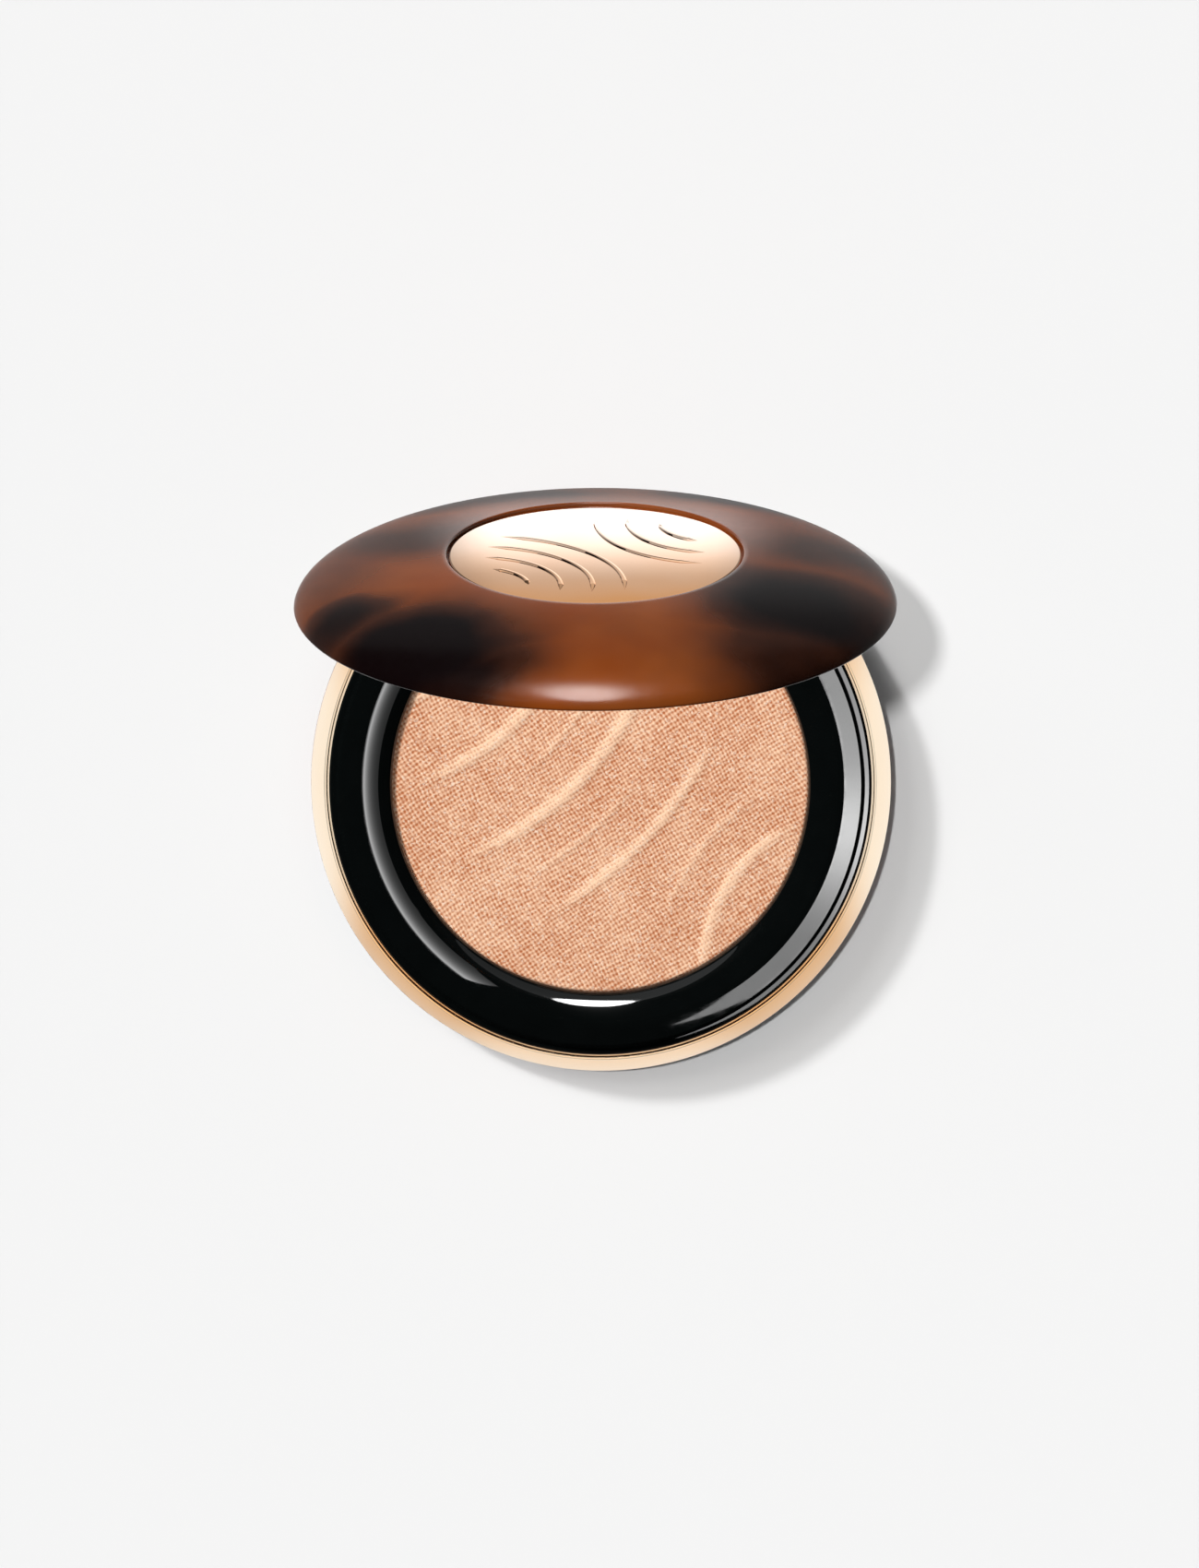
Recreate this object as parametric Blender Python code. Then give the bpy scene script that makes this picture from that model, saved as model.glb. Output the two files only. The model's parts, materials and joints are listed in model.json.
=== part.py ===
"""Round powder compact: domed base with a glossy tray ring and pressed powder, domed lid on a rear hinge.

Lengths are metres and +Z is up. The base stands on z = 0 about the Z axis, the free edge
of the lid faces -Y when closed and the hinge is at +Y. Lid pieces are drawn closed, then
carried open by an empty that lies on the hinge axis.
"""
import math

import bmesh
import bpy
from mathutils import Matrix, Vector

# Rest angle and hinge line
LID_OPEN_DEG = 72.5
HINGE_Y = 0.0378
PARTING_Z = 0.0105
KNUCKLE_R = 0.0018
PIN_R = 0.00075
BORE_R = 0.00085
LID_KNUCKLE_HALF = 0.0080
BASE_KNUCKLE_IN = 0.0089
BASE_KNUCKLE_OUT = 0.0131
PIN_HALF = 0.0128
BORE_HALF = 0.0140
NOTCH_HALF = 0.0134
WASHER_R = 0.0017

# Gaps that neighbouring pieces keep
FIT_GAP = 0.0003
THIN_GAP = 0.0001

# Base, from the foot upwards
FOOT_R = 0.0310
FOOT_INNER_R = 0.0270
LABEL_R = 0.0267
LABEL_THICK = 0.00025
LABEL_RECESS = 0.00055
SHELL_R = 0.04025
SHELL_TOP_Z = 0.0047
SHELL_WALL = 0.00165
SHELL_FLOOR_Z = 0.0021
RIB_IN_R = 0.0305
RIB_OUT_R = 0.0315
RIB_TOP_Z = 0.0040
RIB_DRAFT = 0.0004
WEIGHT_R = 0.0299
WEIGHT_THICK = 0.0016
TRAY_R = 0.0365
TRAY_THICK = 0.0011
BAND_R = 0.0402
BAND_WIDEST_Z = 0.0054
BAND_SHOULDER = (0.03925, 0.0081)
BAND_TOP_R = 0.03806
BAND_INNER_R = 0.03775
BAND_EDGE = 0.0001
BAND_NOTCH_R = 0.0028
BAND_LEDGE_Z = 0.0083
BAND_SKIRT_IN_R = 0.0369
BAND_SKIRT_OUT_R = 0.0380
BAND_SKIRT_Z = 0.0040

# Glossy ring round the powder, heights above the parting plane: a level crest between facets.
# Each slope is a chain of arcs: the arc's width, the tilts in degrees at its ends, its steps.
RING_CREST_IN_R = 0.0329
RING_CREST_OUT_R = 0.03363
RING_CREST_H = 0.0015
RING_INNER_SLOPE = ((0.00228, 12.0, 16.0, 2), (0.0014, 20.0, 30.0, 2), (0.0005, 32.0, 75.0, 3))
RING_OUTER_SLOPE = ((0.00233, 5.2, 5.8, 1), (0.00051, 40.0, 44.0, 1))
RING_LEDGE_R = 0.03652
RING_LEDGE_H = 0.00012
RING_LEDGE_SLOPE = ((0.00055, 5.2, 5.8, 1), (0.00038, 20.0, 80.0, 2))
RING_OUTER_R = 0.03745
RING_UNDER_H = 0.0003
RING_SKIRT_EDGE = 0.0003
RING_WELL_R = 0.0298
RING_SKIRT_R = 0.0309
RING_WALL_IN_R = 0.0353
RING_SKIRT_Z = 0.00575
RING_WALL_Z = 0.0086
RING_BACK_Y = 0.0357
RING_BACK_LOW_Z = 0.0084
BACK_WALL_HALF = 0.0110
BACK_WALL_Y = 0.0344
BASE_WEB_Y = 0.0349
BASE_WEB_LOW_Z = 0.0093
BASE_WEB_DROP = 0.0002

# Pressed powder in its pan
PAN_R = 0.0295
PAN_WALL = 0.0004
PAN_HEIGHT = 0.0040
POWDER_R = 0.02885
PAD_R = 0.0200
PAD_THICK = 0.0002
TAPE_THICK = 0.00015

# Magnetic catch
CATCH_X = 0.0095
CATCH_RADIUS = 0.0328
MAGNET_R = 0.0016
MAGNET_THICK = 0.0030
POST_OVERLAP = 0.0004
KEEPER_R = 0.0014
KEEPER_THICK = 0.00060
KEEPER_H = 0.00245

# Lid, heights above the parting plane
LID_R = 0.04005
LID_RIM_H = 0.00015
LID_DOME = 0.00855
LID_INNER_R = 0.0386
LID_INNER_DOME = 0.0072
LID_RIM_IN_R = 0.0383
LID_CEILING_H = 0.0049
LID_CEILING_R = 0.0290
LID_EDGE = 0.00022
LID_RIM_DRAFT = 0.00002
LID_GROOVE_R = 0.0021
LID_NOTCH_Y = 0.0430
LID_NOTCH_LOW_H = -0.0020
LID_NOTCH_TOP_H = 0.00205
RECESS_R = 0.0197
RECESS_H = 0.00585
MEDALLION_R = 0.0194
MEDALLION_H = 0.0062
MEDALLION_TOP_H = 0.0074
MEDALLION_CHAMFER = 0.00025
MEDALLION_TAPE_R = 0.0185
MIRROR_R = 0.0302
MIRROR_H = 0.0020
MIRROR_THICK = 0.0009
MIRROR_TAPE_R = 0.0280
LINER_BACK_GAP = 0.00035
LINER_BACK_THICK = 0.0007
LINER_WALL_R = 0.0312
LINER_WALL_EDGE = 0.0004
LINER_FACE_H = 0.0019
LINER_FACE_THICK = 0.0004
LINER_FACE_R = 0.0354
LINER_BEND = (0.0364, 0.0016)
LINER_SHOULDER_H = 0.0011
LINER_OUTER_BEND = ((0.0369, 0.0018), (0.0357, 0.0023))
LINER_RIM_R = 0.0379
LINER_RIM_IN_R = 0.0369
LINER_RIM_H = 0.00045
LINER_WEB_Y = 0.0361
LINER_WEB_LOW_H = 0.0009
LINER_WEB_TOP_H = 0.00165

SEGMENTS = 48
SMALL_SEGMENTS = 20
SHARP_ANGLE = math.radians(32)


def clear_scene():
    for obj in list(bpy.data.objects):
        bpy.data.objects.remove(obj, do_unlink=True)


def make_material(name, color, roughness, metallic=0.0):
    material = bpy.data.materials.new(name)
    material.use_nodes = True
    shader = material.node_tree.nodes["Principled BSDF"]
    shader.inputs["Base Color"].default_value = (*color, 1.0)
    shader.inputs["Roughness"].default_value = roughness
    shader.inputs["Metallic"].default_value = metallic
    return material


def add_object(name, bm, material=None):
    bmesh.ops.remove_doubles(bm, verts=bm.verts, dist=1e-6)
    bmesh.ops.recalc_face_normals(bm, faces=bm.faces)
    for face in bm.faces:
        face.smooth = True
    for edge in bm.edges:
        edge.smooth = edge.calc_face_angle(0.0) < SHARP_ANGLE
    mesh = bpy.data.meshes.new(name)
    bm.to_mesh(mesh)
    bm.free()
    obj = bpy.data.objects.new(name, mesh)
    bpy.context.scene.collection.objects.link(obj)
    if material:
        mesh.materials.append(material)
    return obj


def revolve(name, profile, material, closed=True, steps=SEGMENTS):
    """Spin an (r, z) outline once round the Z axis."""
    bm = bmesh.new()
    verts = [bm.verts.new((r, 0.0, z)) for r, z in profile]
    edges = [bm.edges.new(pair) for pair in zip(verts, verts[1:])]
    if closed:
        edges.append(bm.edges.new((verts[-1], verts[0])))
    bmesh.ops.spin(bm, geom=verts + edges, cent=(0, 0, 0), axis=(0, 0, 1), angle=math.tau,
                   steps=steps, use_duplicate=False)
    return add_object(name, bm, material)


def disc(name, radius, low, high, material, steps=SEGMENTS):
    return revolve(name, [(0.0, low), (radius, low), (radius, high), (0.0, high)], material,
                   closed=False, steps=steps)


def rod_along_x(name, radius, x_low, x_high, material=None, center=(HINGE_Y, PARTING_Z)):
    bm = bmesh.new()
    bmesh.ops.create_cone(bm, cap_ends=True, segments=SMALL_SEGMENTS, radius1=radius,
                          radius2=radius, depth=x_high - x_low)
    turn = Matrix.Rotation(math.radians(90), 4, "Y")
    shift = Matrix.Translation(Vector(((x_low + x_high) / 2, *center)))
    bmesh.ops.transform(bm, matrix=shift @ turn, verts=bm.verts)
    return add_object(name, bm, material)


def block(name, low, high):
    bm = bmesh.new()
    size = [b - a for a, b in zip(low, high)]
    middle = [(a + b) / 2 for a, b in zip(low, high)]
    bmesh.ops.create_cube(bm, size=1.0)
    bmesh.ops.scale(bm, vec=size, verts=bm.verts)
    bmesh.ops.translate(bm, vec=middle, verts=bm.verts)
    return add_object(name, bm)


def combine(target, tool, operation):
    """Join or cut with a helper solid, which stays in the file as a hidden wire shape."""
    tool.hide_render = True
    tool.display_type = "WIRE"
    modifier = target.modifiers.new(tool.name, "BOOLEAN")
    modifier.operation = operation
    modifier.solver = "EXACT"
    modifier.object = tool


def ellipse_arc(center, semi_r, semi_z, start_deg, end_deg, count):
    """Points of an ellipse in the (r, z) plane, angle 0 pointing outwards and 90 up."""
    points = []
    for i in range(count + 1):
        angle = math.radians(start_deg + (end_deg - start_deg) * i / count)
        points.append((center[0] + semi_r * math.cos(angle), center[1] + semi_z * math.sin(angle)))
    return points


def slope_chain(start, slope, direction):
    """Points of arcs that fall away from start, outwards (1) or inwards (-1), crease to crease."""
    r, z = start
    points = []
    for width, start_deg, end_deg, count in slope:
        tilt, end = math.radians(start_deg), math.radians(end_deg)
        bend = width / (math.sin(end) - math.sin(tilt))
        for i in range(1, count + 1):
            angle = tilt + (end - tilt) * i / count
            across = bend * (math.sin(angle) - math.sin(tilt))
            points.append((r + direction * across, z - bend * (math.cos(tilt) - math.cos(angle))))
        r, z = points[-1]
    return points


def build_base_shell(material):
    outer = ellipse_arc((FOOT_R, SHELL_TOP_Z), SHELL_R - FOOT_R, SHELL_TOP_Z, -90, 0, 8)
    inner_r = SHELL_R - SHELL_WALL - FOOT_R
    inner = ellipse_arc((FOOT_R, SHELL_TOP_Z), inner_r, SHELL_TOP_Z - SHELL_FLOOR_Z, 0, -78, 6)
    rib = [
        (RIB_OUT_R + RIB_DRAFT, SHELL_FLOOR_Z), (RIB_OUT_R, RIB_TOP_Z), (RIB_IN_R, RIB_TOP_Z),
        (RIB_IN_R, SHELL_FLOOR_Z), (0.0, SHELL_FLOOR_Z),
    ]
    under = [(0.0, LABEL_RECESS), (FOOT_INNER_R, LABEL_RECESS), (FOOT_INNER_R, 0.0)]
    return revolve("base_shell", under + outer + inner + rib, material, closed=False)


def build_base_band(material):
    top = PARTING_Z - FIT_GAP / 2
    foot = SHELL_TOP_Z + FIT_GAP
    profile = [
        (BAND_INNER_R, top - BAND_EDGE), (BAND_INNER_R + BAND_EDGE, top), (BAND_TOP_R - BAND_EDGE, top),
        (BAND_TOP_R + BAND_EDGE, top - 2 * BAND_EDGE), BAND_SHOULDER, (BAND_R, BAND_WIDEST_Z),
        (BAND_R - BAND_EDGE / 2, foot), (BAND_SKIRT_OUT_R, foot), (BAND_SKIRT_OUT_R, BAND_SKIRT_Z),
        (BAND_SKIRT_IN_R, BAND_SKIRT_Z), (BAND_SKIRT_IN_R, BAND_LEDGE_Z), (BAND_INNER_R, BAND_LEDGE_Z),
    ]
    band = revolve("base_band", profile, material)
    combine(band, rod_along_x("cut_band_notch", BAND_NOTCH_R, -NOTCH_HALF, NOTCH_HALF), "DIFFERENCE")


def ring_inner_slope():
    return slope_chain((RING_CREST_IN_R, PARTING_Z + RING_CREST_H), RING_INNER_SLOPE, -1)


def lip_height():
    """Height of the lip's lower edge, which the pan's rim stays clear of."""
    return ring_inner_slope()[-1][1]


def ring_outline():
    z = PARTING_Z
    crest = [(RING_CREST_IN_R, z + RING_CREST_H), (RING_CREST_OUT_R, z + RING_CREST_H)]
    outer = slope_chain(crest[1], RING_OUTER_SLOPE, 1)
    ledge_start = (RING_LEDGE_R, z + RING_LEDGE_H)
    ledge = [ledge_start] + slope_chain(ledge_start, RING_LEDGE_SLOPE, 1)
    under = [
        (RING_OUTER_R, RING_WALL_Z), (RING_WALL_IN_R, RING_WALL_Z), (RING_WALL_IN_R, z - THIN_GAP),
        (RING_CREST_OUT_R, z + RING_UNDER_H), (RING_SKIRT_R + RING_SKIRT_EDGE, z),
        (RING_SKIRT_R, z - 2 * RING_SKIRT_EDGE), (RING_SKIRT_R, RING_SKIRT_Z),
        (RING_WELL_R, RING_SKIRT_Z), (RING_WELL_R, lip_height()),
    ]
    return ring_inner_slope()[::-1] + crest + outer + ledge + under


def build_bezel(material):
    bezel = revolve("bezel", ring_outline(), material)
    top = PARTING_Z + 2 * RING_CREST_H
    back = block("cut_bezel_back", (-NOTCH_HALF, RING_BACK_Y, RING_BACK_LOW_Z),
                 (NOTCH_HALF, LID_NOTCH_Y, top))
    combine(bezel, back, "DIFFERENCE")
    wall = block("join_bezel_wall", (-BACK_WALL_HALF, BACK_WALL_Y, RING_WALL_Z),
                 (BACK_WALL_HALF, RING_BACK_Y, PARTING_Z))
    combine(bezel, wall, "UNION")
    for side, word in ((-1, "left"), (1, "right")):
        low_x, high_x = sorted((side * BASE_KNUCKLE_IN, side * BASE_KNUCKLE_OUT))
        web = block(f"join_base_web_{word}", (low_x, BASE_WEB_Y, BASE_WEB_LOW_Z),
                    (high_x, HINGE_Y, PARTING_Z - BASE_WEB_DROP))
        combine(bezel, web, "UNION")
        combine(bezel, rod_along_x(f"join_base_barrel_{word}", KNUCKLE_R, low_x, high_x), "UNION")
    combine(bezel, rod_along_x("cut_base_bore", BORE_R, -BORE_HALF, BORE_HALF), "DIFFERENCE")


def build_powder(pan_material, powder_material, pad_material):
    rim = lip_height() - FIT_GAP
    low = rim - PAN_HEIGHT
    inner = PAN_R - PAN_WALL
    profile = [(0.0, low), (PAN_R, low), (PAN_R, rim), (inner, rim), (inner, low + PAN_WALL),
               (0.0, low + PAN_WALL)]
    revolve("powder_pan", profile, pan_material, closed=False)
    disc("pressed_powder", POWDER_R, low + PAN_WALL + FIT_GAP, rim, powder_material)
    disc("pan_glue_pad", PAD_R, low - THIN_GAP - PAD_THICK, low - THIN_GAP, pad_material)


def build_tray(tray_material, weight_material, magnet_material):
    low = RIB_TOP_Z + FIT_GAP
    top = low + TRAY_THICK
    tray = disc("pan_tray", TRAY_R, low, top, tray_material)
    weight_low = SHELL_FLOOR_Z + FIT_GAP
    disc("weight_plate", WEIGHT_R, weight_low, weight_low + WEIGHT_THICK - FIT_GAP, weight_material)
    magnet_low = PARTING_Z - MAGNET_THICK
    y = -math.sqrt(CATCH_RADIUS ** 2 - CATCH_X ** 2)
    for side, word in ((-1, "left"), (1, "right")):
        post = disc(f"join_tray_post_{word}", MAGNET_R, low + POST_OVERLAP, magnet_low - FIT_GAP / 2,
                    None, steps=SMALL_SEGMENTS)
        post.location = (side * CATCH_X, y, 0.0)
        combine(tray, post, "UNION")
        magnet = disc(f"base_magnet_{word}", MAGNET_R, 0.0, MAGNET_THICK, magnet_material,
                      steps=SMALL_SEGMENTS)
        magnet.location = (side * CATCH_X, y, magnet_low)


def build_hinge_hardware(steel, washer_material):
    pin = rod_along_x("hinge_pin", PIN_R, -PIN_HALF, PIN_HALF, steel, center=(0.0, 0.0))
    pin.location = (0.0, HINGE_Y, PARTING_Z)
    for side, word in ((-1, "left"), (1, "right")):
        inner, outer = LID_KNUCKLE_HALF + FIT_GAP, BASE_KNUCKLE_IN - FIT_GAP
        profile = [(BORE_R, inner), (WASHER_R, inner), (WASHER_R, outer), (BORE_R, outer)]
        washer = revolve(f"hinge_washer_{word}", profile, washer_material, steps=SMALL_SEGMENTS)
        washer.rotation_euler = (0.0, math.radians(90 * side), 0.0)
        washer.location = (0.0, HINGE_Y, PARTING_Z)


def dome_height(r):
    return LID_RIM_H + LID_DOME * math.sqrt(1.0 - (r / LID_R) ** 2)


def inner_height(r):
    return LID_RIM_H + LID_INNER_DOME * math.sqrt(1.0 - (r / LID_INNER_R) ** 2)


def carry(obj, hinge):
    """Hang a piece that was drawn closed on the hinge empty."""
    obj.parent = hinge
    obj.location = obj.location - Vector((0.0, HINGE_Y, PARTING_Z))


def build_lid_shell(material, hinge):
    z = PARTING_Z
    start = math.degrees(math.acos((RECESS_R + LID_EDGE) / LID_R))
    outer = ellipse_arc((0.0, z + LID_RIM_H), LID_R, LID_DOME, start, 4, 11)
    rim = [(LID_R - LID_RIM_DRAFT, z + LID_RIM_H + LID_EDGE), (LID_R - LID_EDGE, z + LID_RIM_H),
           (LID_RIM_IN_R, z + LID_RIM_H)]
    inner = []
    for i in range(6):
        r = LID_RIM_IN_R - 2 * THIN_GAP
        r -= (r - LID_CEILING_R) * (i / 5) ** 1.5
        inner.append((r, z + min(LID_CEILING_H, inner_height(r))))
    seat = [(0.0, z + RECESS_H), (RECESS_R, z + RECESS_H), (RECESS_R, z + dome_height(RECESS_R) - LID_EDGE)]
    profile = seat + outer + rim + inner + [(0.0, z + LID_CEILING_H)]
    shell = revolve("lid_shell", profile, material, closed=False)
    groove = rod_along_x("cut_lid_groove", LID_GROOVE_R, -NOTCH_HALF, NOTCH_HALF)
    notch = block("cut_lid_notch", (-NOTCH_HALF, HINGE_Y, z + LID_NOTCH_LOW_H),
                  (NOTCH_HALF, LID_NOTCH_Y, z + LID_NOTCH_TOP_H))
    for tool in (groove, notch):
        combine(shell, tool, "DIFFERENCE")
        carry(tool, hinge)
    carry(shell, hinge)


def liner_outline():
    z = PARTING_Z
    back = z + MIRROR_H + MIRROR_THICK + LINER_BACK_GAP
    top = back + LINER_BACK_THICK
    face = z + LINER_FACE_H
    wall_in = MIRROR_R + FIT_GAP
    shoulder = z + LINER_SHOULDER_H
    outside = [(r, z + h) for r, h in LINER_OUTER_BEND]
    return [
        (0.0, back), (wall_in, back), (wall_in, face), (LINER_FACE_R, face),
        (LINER_BEND[0], z + LINER_BEND[1]), (LINER_RIM_IN_R, shoulder), (LINER_RIM_IN_R, z + LINER_RIM_H),
        (LINER_RIM_R, z + LINER_RIM_H), (LINER_RIM_R, shoulder), *outside,
        (LINER_WALL_R, face + LINER_FACE_THICK), (LINER_WALL_R, top - LINER_WALL_EDGE),
        (LINER_WALL_R - LINER_WALL_EDGE, top), (0.0, top),
    ]


def build_lid_liner(material, hinge):
    z = PARTING_Z
    half = LID_KNUCKLE_HALF
    liner = revolve("lid_liner", liner_outline(), material, closed=False)
    tools = []
    for side, word in ((-1, "left"), (1, "right")):
        x_pair = sorted((side * half, side * NOTCH_HALF))
        tools.append((rod_along_x(f"cut_liner_groove_{word}", LID_GROOVE_R, *x_pair), "DIFFERENCE"))
    web = block("join_liner_web", (-half, LINER_WEB_Y, z + LINER_WEB_LOW_H),
                (half, HINGE_Y, z + LINER_WEB_TOP_H))
    tools.append((web, "UNION"))
    tools.append((rod_along_x("join_liner_barrel", KNUCKLE_R, -half, half), "UNION"))
    tools.append((rod_along_x("cut_liner_bore", BORE_R, -BORE_HALF, BORE_HALF), "DIFFERENCE"))
    for tool, operation in tools:
        combine(liner, tool, operation)
        carry(tool, hinge)
    carry(liner, hinge)


def build_mirror(mirror_material, tape_material, hinge):
    low = PARTING_Z + MIRROR_H
    carry(disc("lid_mirror", MIRROR_R, low, low + MIRROR_THICK, mirror_material), hinge)
    tape_low = low + MIRROR_THICK + THIN_GAP
    carry(disc("mirror_tape", MIRROR_TAPE_R, tape_low, tape_low + TAPE_THICK, tape_material), hinge)


def build_keepers(material, hinge):
    y = -math.sqrt(CATCH_RADIUS ** 2 - CATCH_X ** 2)
    for side, word in ((-1, "left"), (1, "right")):
        keeper = disc(f"lid_keeper_{word}", KEEPER_R, 0.0, KEEPER_THICK, material, steps=SMALL_SEGMENTS)
        keeper.location = (side * CATCH_X, y, PARTING_Z + KEEPER_H)
        carry(keeper, hinge)


def build_medallion(gold, tape_material, hinge):
    z = PARTING_Z
    low, top = z + MEDALLION_H, z + MEDALLION_TOP_H
    edge = MEDALLION_R - MEDALLION_CHAMFER
    profile = [(0.0, low), (MEDALLION_R, low), (MEDALLION_R, top - MEDALLION_CHAMFER), (edge, top),
               (0.0, top)]
    carry(revolve("lid_medallion", profile, gold, closed=False), hinge)
    tape_low = z + RECESS_H + THIN_GAP
    carry(disc("medallion_tape", MEDALLION_TAPE_R, tape_low, tape_low + TAPE_THICK, tape_material), hinge)


def main():
    clear_scene()
    tortoise = make_material("tortoise", (0.23, 0.085, 0.03), 0.25)
    band_gold = make_material("band_gold", (0.90, 0.62, 0.36), 0.18, 1.0)
    medallion_gold = make_material("medallion_gold", (0.93, 0.68, 0.47), 0.10, 1.0)
    black = make_material("gloss_black", (0.004, 0.006, 0.006), 0.05)
    inner_plastic = make_material("inner_plastic", (0.03, 0.03, 0.03), 0.5)
    powder = make_material("powder", (0.86, 0.52, 0.33), 0.7)
    aluminium = make_material("pan_aluminium", (0.80, 0.80, 0.80), 0.3, 1.0)
    steel = make_material("steel", (0.55, 0.55, 0.56), 0.35, 1.0)
    magnet = make_material("magnet_nickel", (0.62, 0.61, 0.60), 0.25, 1.0)
    mirror = make_material("mirror_glass", (0.93, 0.94, 0.95), 0.02, 1.0)
    tape = make_material("adhesive_tape", (0.70, 0.70, 0.66), 0.8)
    nylon = make_material("washer_nylon", (0.05, 0.05, 0.05), 0.5)
    label = make_material("label_paper", (0.85, 0.83, 0.80), 0.6)

    build_base_shell(tortoise)
    build_base_band(band_gold)
    build_bezel(black)
    build_powder(aluminium, powder, tape)
    build_tray(inner_plastic, steel, magnet)
    build_hinge_hardware(steel, nylon)
    disc("base_label", LABEL_R, 0.0, LABEL_THICK, label)

    hinge = bpy.data.objects.new("lid_hinge_axis", None)
    bpy.context.scene.collection.objects.link(hinge)
    hinge.location = (0.0, HINGE_Y, PARTING_Z)
    hinge.rotation_euler = (math.radians(-LID_OPEN_DEG), 0.0, 0.0)
    build_lid_shell(tortoise, hinge)
    build_lid_liner(black, hinge)
    build_mirror(mirror, tape, hinge)
    build_keepers(steel, hinge)
    build_medallion(medallion_gold, tape, hinge)


main()
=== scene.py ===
"""Looks of the powder compact: smooth skins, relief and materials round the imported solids."""
import json
import math

import bmesh
import bpy
import numpy as np
from mathutils import Matrix, Vector

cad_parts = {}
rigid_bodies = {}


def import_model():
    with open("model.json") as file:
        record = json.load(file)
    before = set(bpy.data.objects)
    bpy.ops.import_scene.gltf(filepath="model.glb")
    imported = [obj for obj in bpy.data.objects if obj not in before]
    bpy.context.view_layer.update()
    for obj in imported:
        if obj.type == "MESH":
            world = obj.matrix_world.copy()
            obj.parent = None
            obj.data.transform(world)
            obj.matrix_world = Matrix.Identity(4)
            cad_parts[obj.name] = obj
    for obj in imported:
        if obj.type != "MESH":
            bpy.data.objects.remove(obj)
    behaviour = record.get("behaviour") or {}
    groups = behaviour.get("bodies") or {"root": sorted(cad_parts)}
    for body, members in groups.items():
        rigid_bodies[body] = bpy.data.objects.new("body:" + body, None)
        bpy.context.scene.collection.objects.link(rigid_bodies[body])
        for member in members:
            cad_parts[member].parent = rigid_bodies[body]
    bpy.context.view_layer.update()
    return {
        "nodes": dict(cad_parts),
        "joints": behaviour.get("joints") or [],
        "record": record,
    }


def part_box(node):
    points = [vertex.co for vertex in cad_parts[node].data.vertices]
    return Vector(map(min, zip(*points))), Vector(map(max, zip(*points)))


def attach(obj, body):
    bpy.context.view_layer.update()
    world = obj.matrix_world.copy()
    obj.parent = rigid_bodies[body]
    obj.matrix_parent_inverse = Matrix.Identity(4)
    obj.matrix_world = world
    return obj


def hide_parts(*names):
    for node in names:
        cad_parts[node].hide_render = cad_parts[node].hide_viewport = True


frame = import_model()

# The visible pieces of each body, for the lights that each casts a shadow from
CASTERS = {body: bpy.data.collections.new(f"{body}_casters") for body in ("base", "lid")}
ROUND_STEPS = 192
SMALL_STEPS = 48

# Hinge sizes that the ring, band, dome and frame share
KNUCKLE_HALF = 0.0134
BARREL_R = 0.0018
GROOVE_R = 0.0021
BORE_R = 0.00085
BORE_HALF = 0.014

# The lid's hinge, and the turn that carries a piece drawn closed to where it rests
hinge_joint = frame["joints"][0]
HINGE = Vector(hinge_joint["pos_m"])
PARTING = HINGE.z
OPEN_ANGLE = math.radians(-hinge_joint["range_deg"][0])
OPEN = (Matrix.Translation(HINGE) @ Matrix.Rotation(OPEN_ANGLE, 4, Vector(hinge_joint["axis"]))
        @ Matrix.Translation(-HINGE))


def closed_box(node):
    """Lowest and highest corner of a lid node with the lid shut."""
    shut = OPEN.inverted()
    points = [shut @ v.co for v in frame["nodes"][node].data.vertices]
    return Vector(map(min, zip(*points))), Vector(map(max, zip(*points)))


# ---------------------------------------------------------------- mesh helpers

def finish_mesh(bm, name, sharp=35.0):
    bmesh.ops.remove_doubles(bm, verts=bm.verts, dist=1e-7)
    bmesh.ops.recalc_face_normals(bm, faces=bm.faces)
    mesh = bpy.data.meshes.new(name)
    bm.to_mesh(mesh)
    bm.free()
    return smooth_mesh(mesh, sharp)


def smooth_mesh(mesh, sharp=35.0):
    mesh.polygons.foreach_set("use_smooth", [True] * len(mesh.polygons))
    mesh.set_sharp_from_angle(angle=math.radians(sharp))
    return mesh


def add_object(name, mesh):
    obj = bpy.data.objects.new(name, mesh)
    bpy.context.scene.collection.objects.link(obj)
    return obj


def revolve_mesh(name, profile, closed=True, steps=ROUND_STEPS, sharp=35.0):
    """Turn an (r, z) outline once round Z. An open outline starts and ends on the axis."""
    bm = bmesh.new()
    rings = []
    for r, z in profile:
        if r < 1e-7:
            rings.append([bm.verts.new((0.0, 0.0, z))] * steps)
            continue
        ring = []
        for i in range(steps):
            a = math.tau * i / steps
            ring.append(bm.verts.new((r * math.cos(a), r * math.sin(a), z)))
        rings.append(ring)
    pairs = list(zip(rings, rings[1:]))
    if closed:
        pairs.append((rings[-1], rings[0]))
    for low, high in pairs:
        for i in range(steps):
            j = (i + 1) % steps
            corners = [low[i], low[j], high[j], high[i]]
            face = [v for k, v in enumerate(corners) if v not in corners[:k]]
            if len(face) > 2:
                bm.faces.new(face)
    return finish_mesh(bm, name, sharp)


def arc(center, semi_r, semi_z, start_deg, end_deg, count):
    """Points of an ellipse in the (r, z) plane, angle 0 outwards and 90 up."""
    points = []
    for i in range(count + 1):
        a = math.radians(start_deg + (end_deg - start_deg) * i / count)
        points.append((center[0] + semi_r * math.cos(a), center[1] + semi_z * math.sin(a)))
    return points


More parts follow.
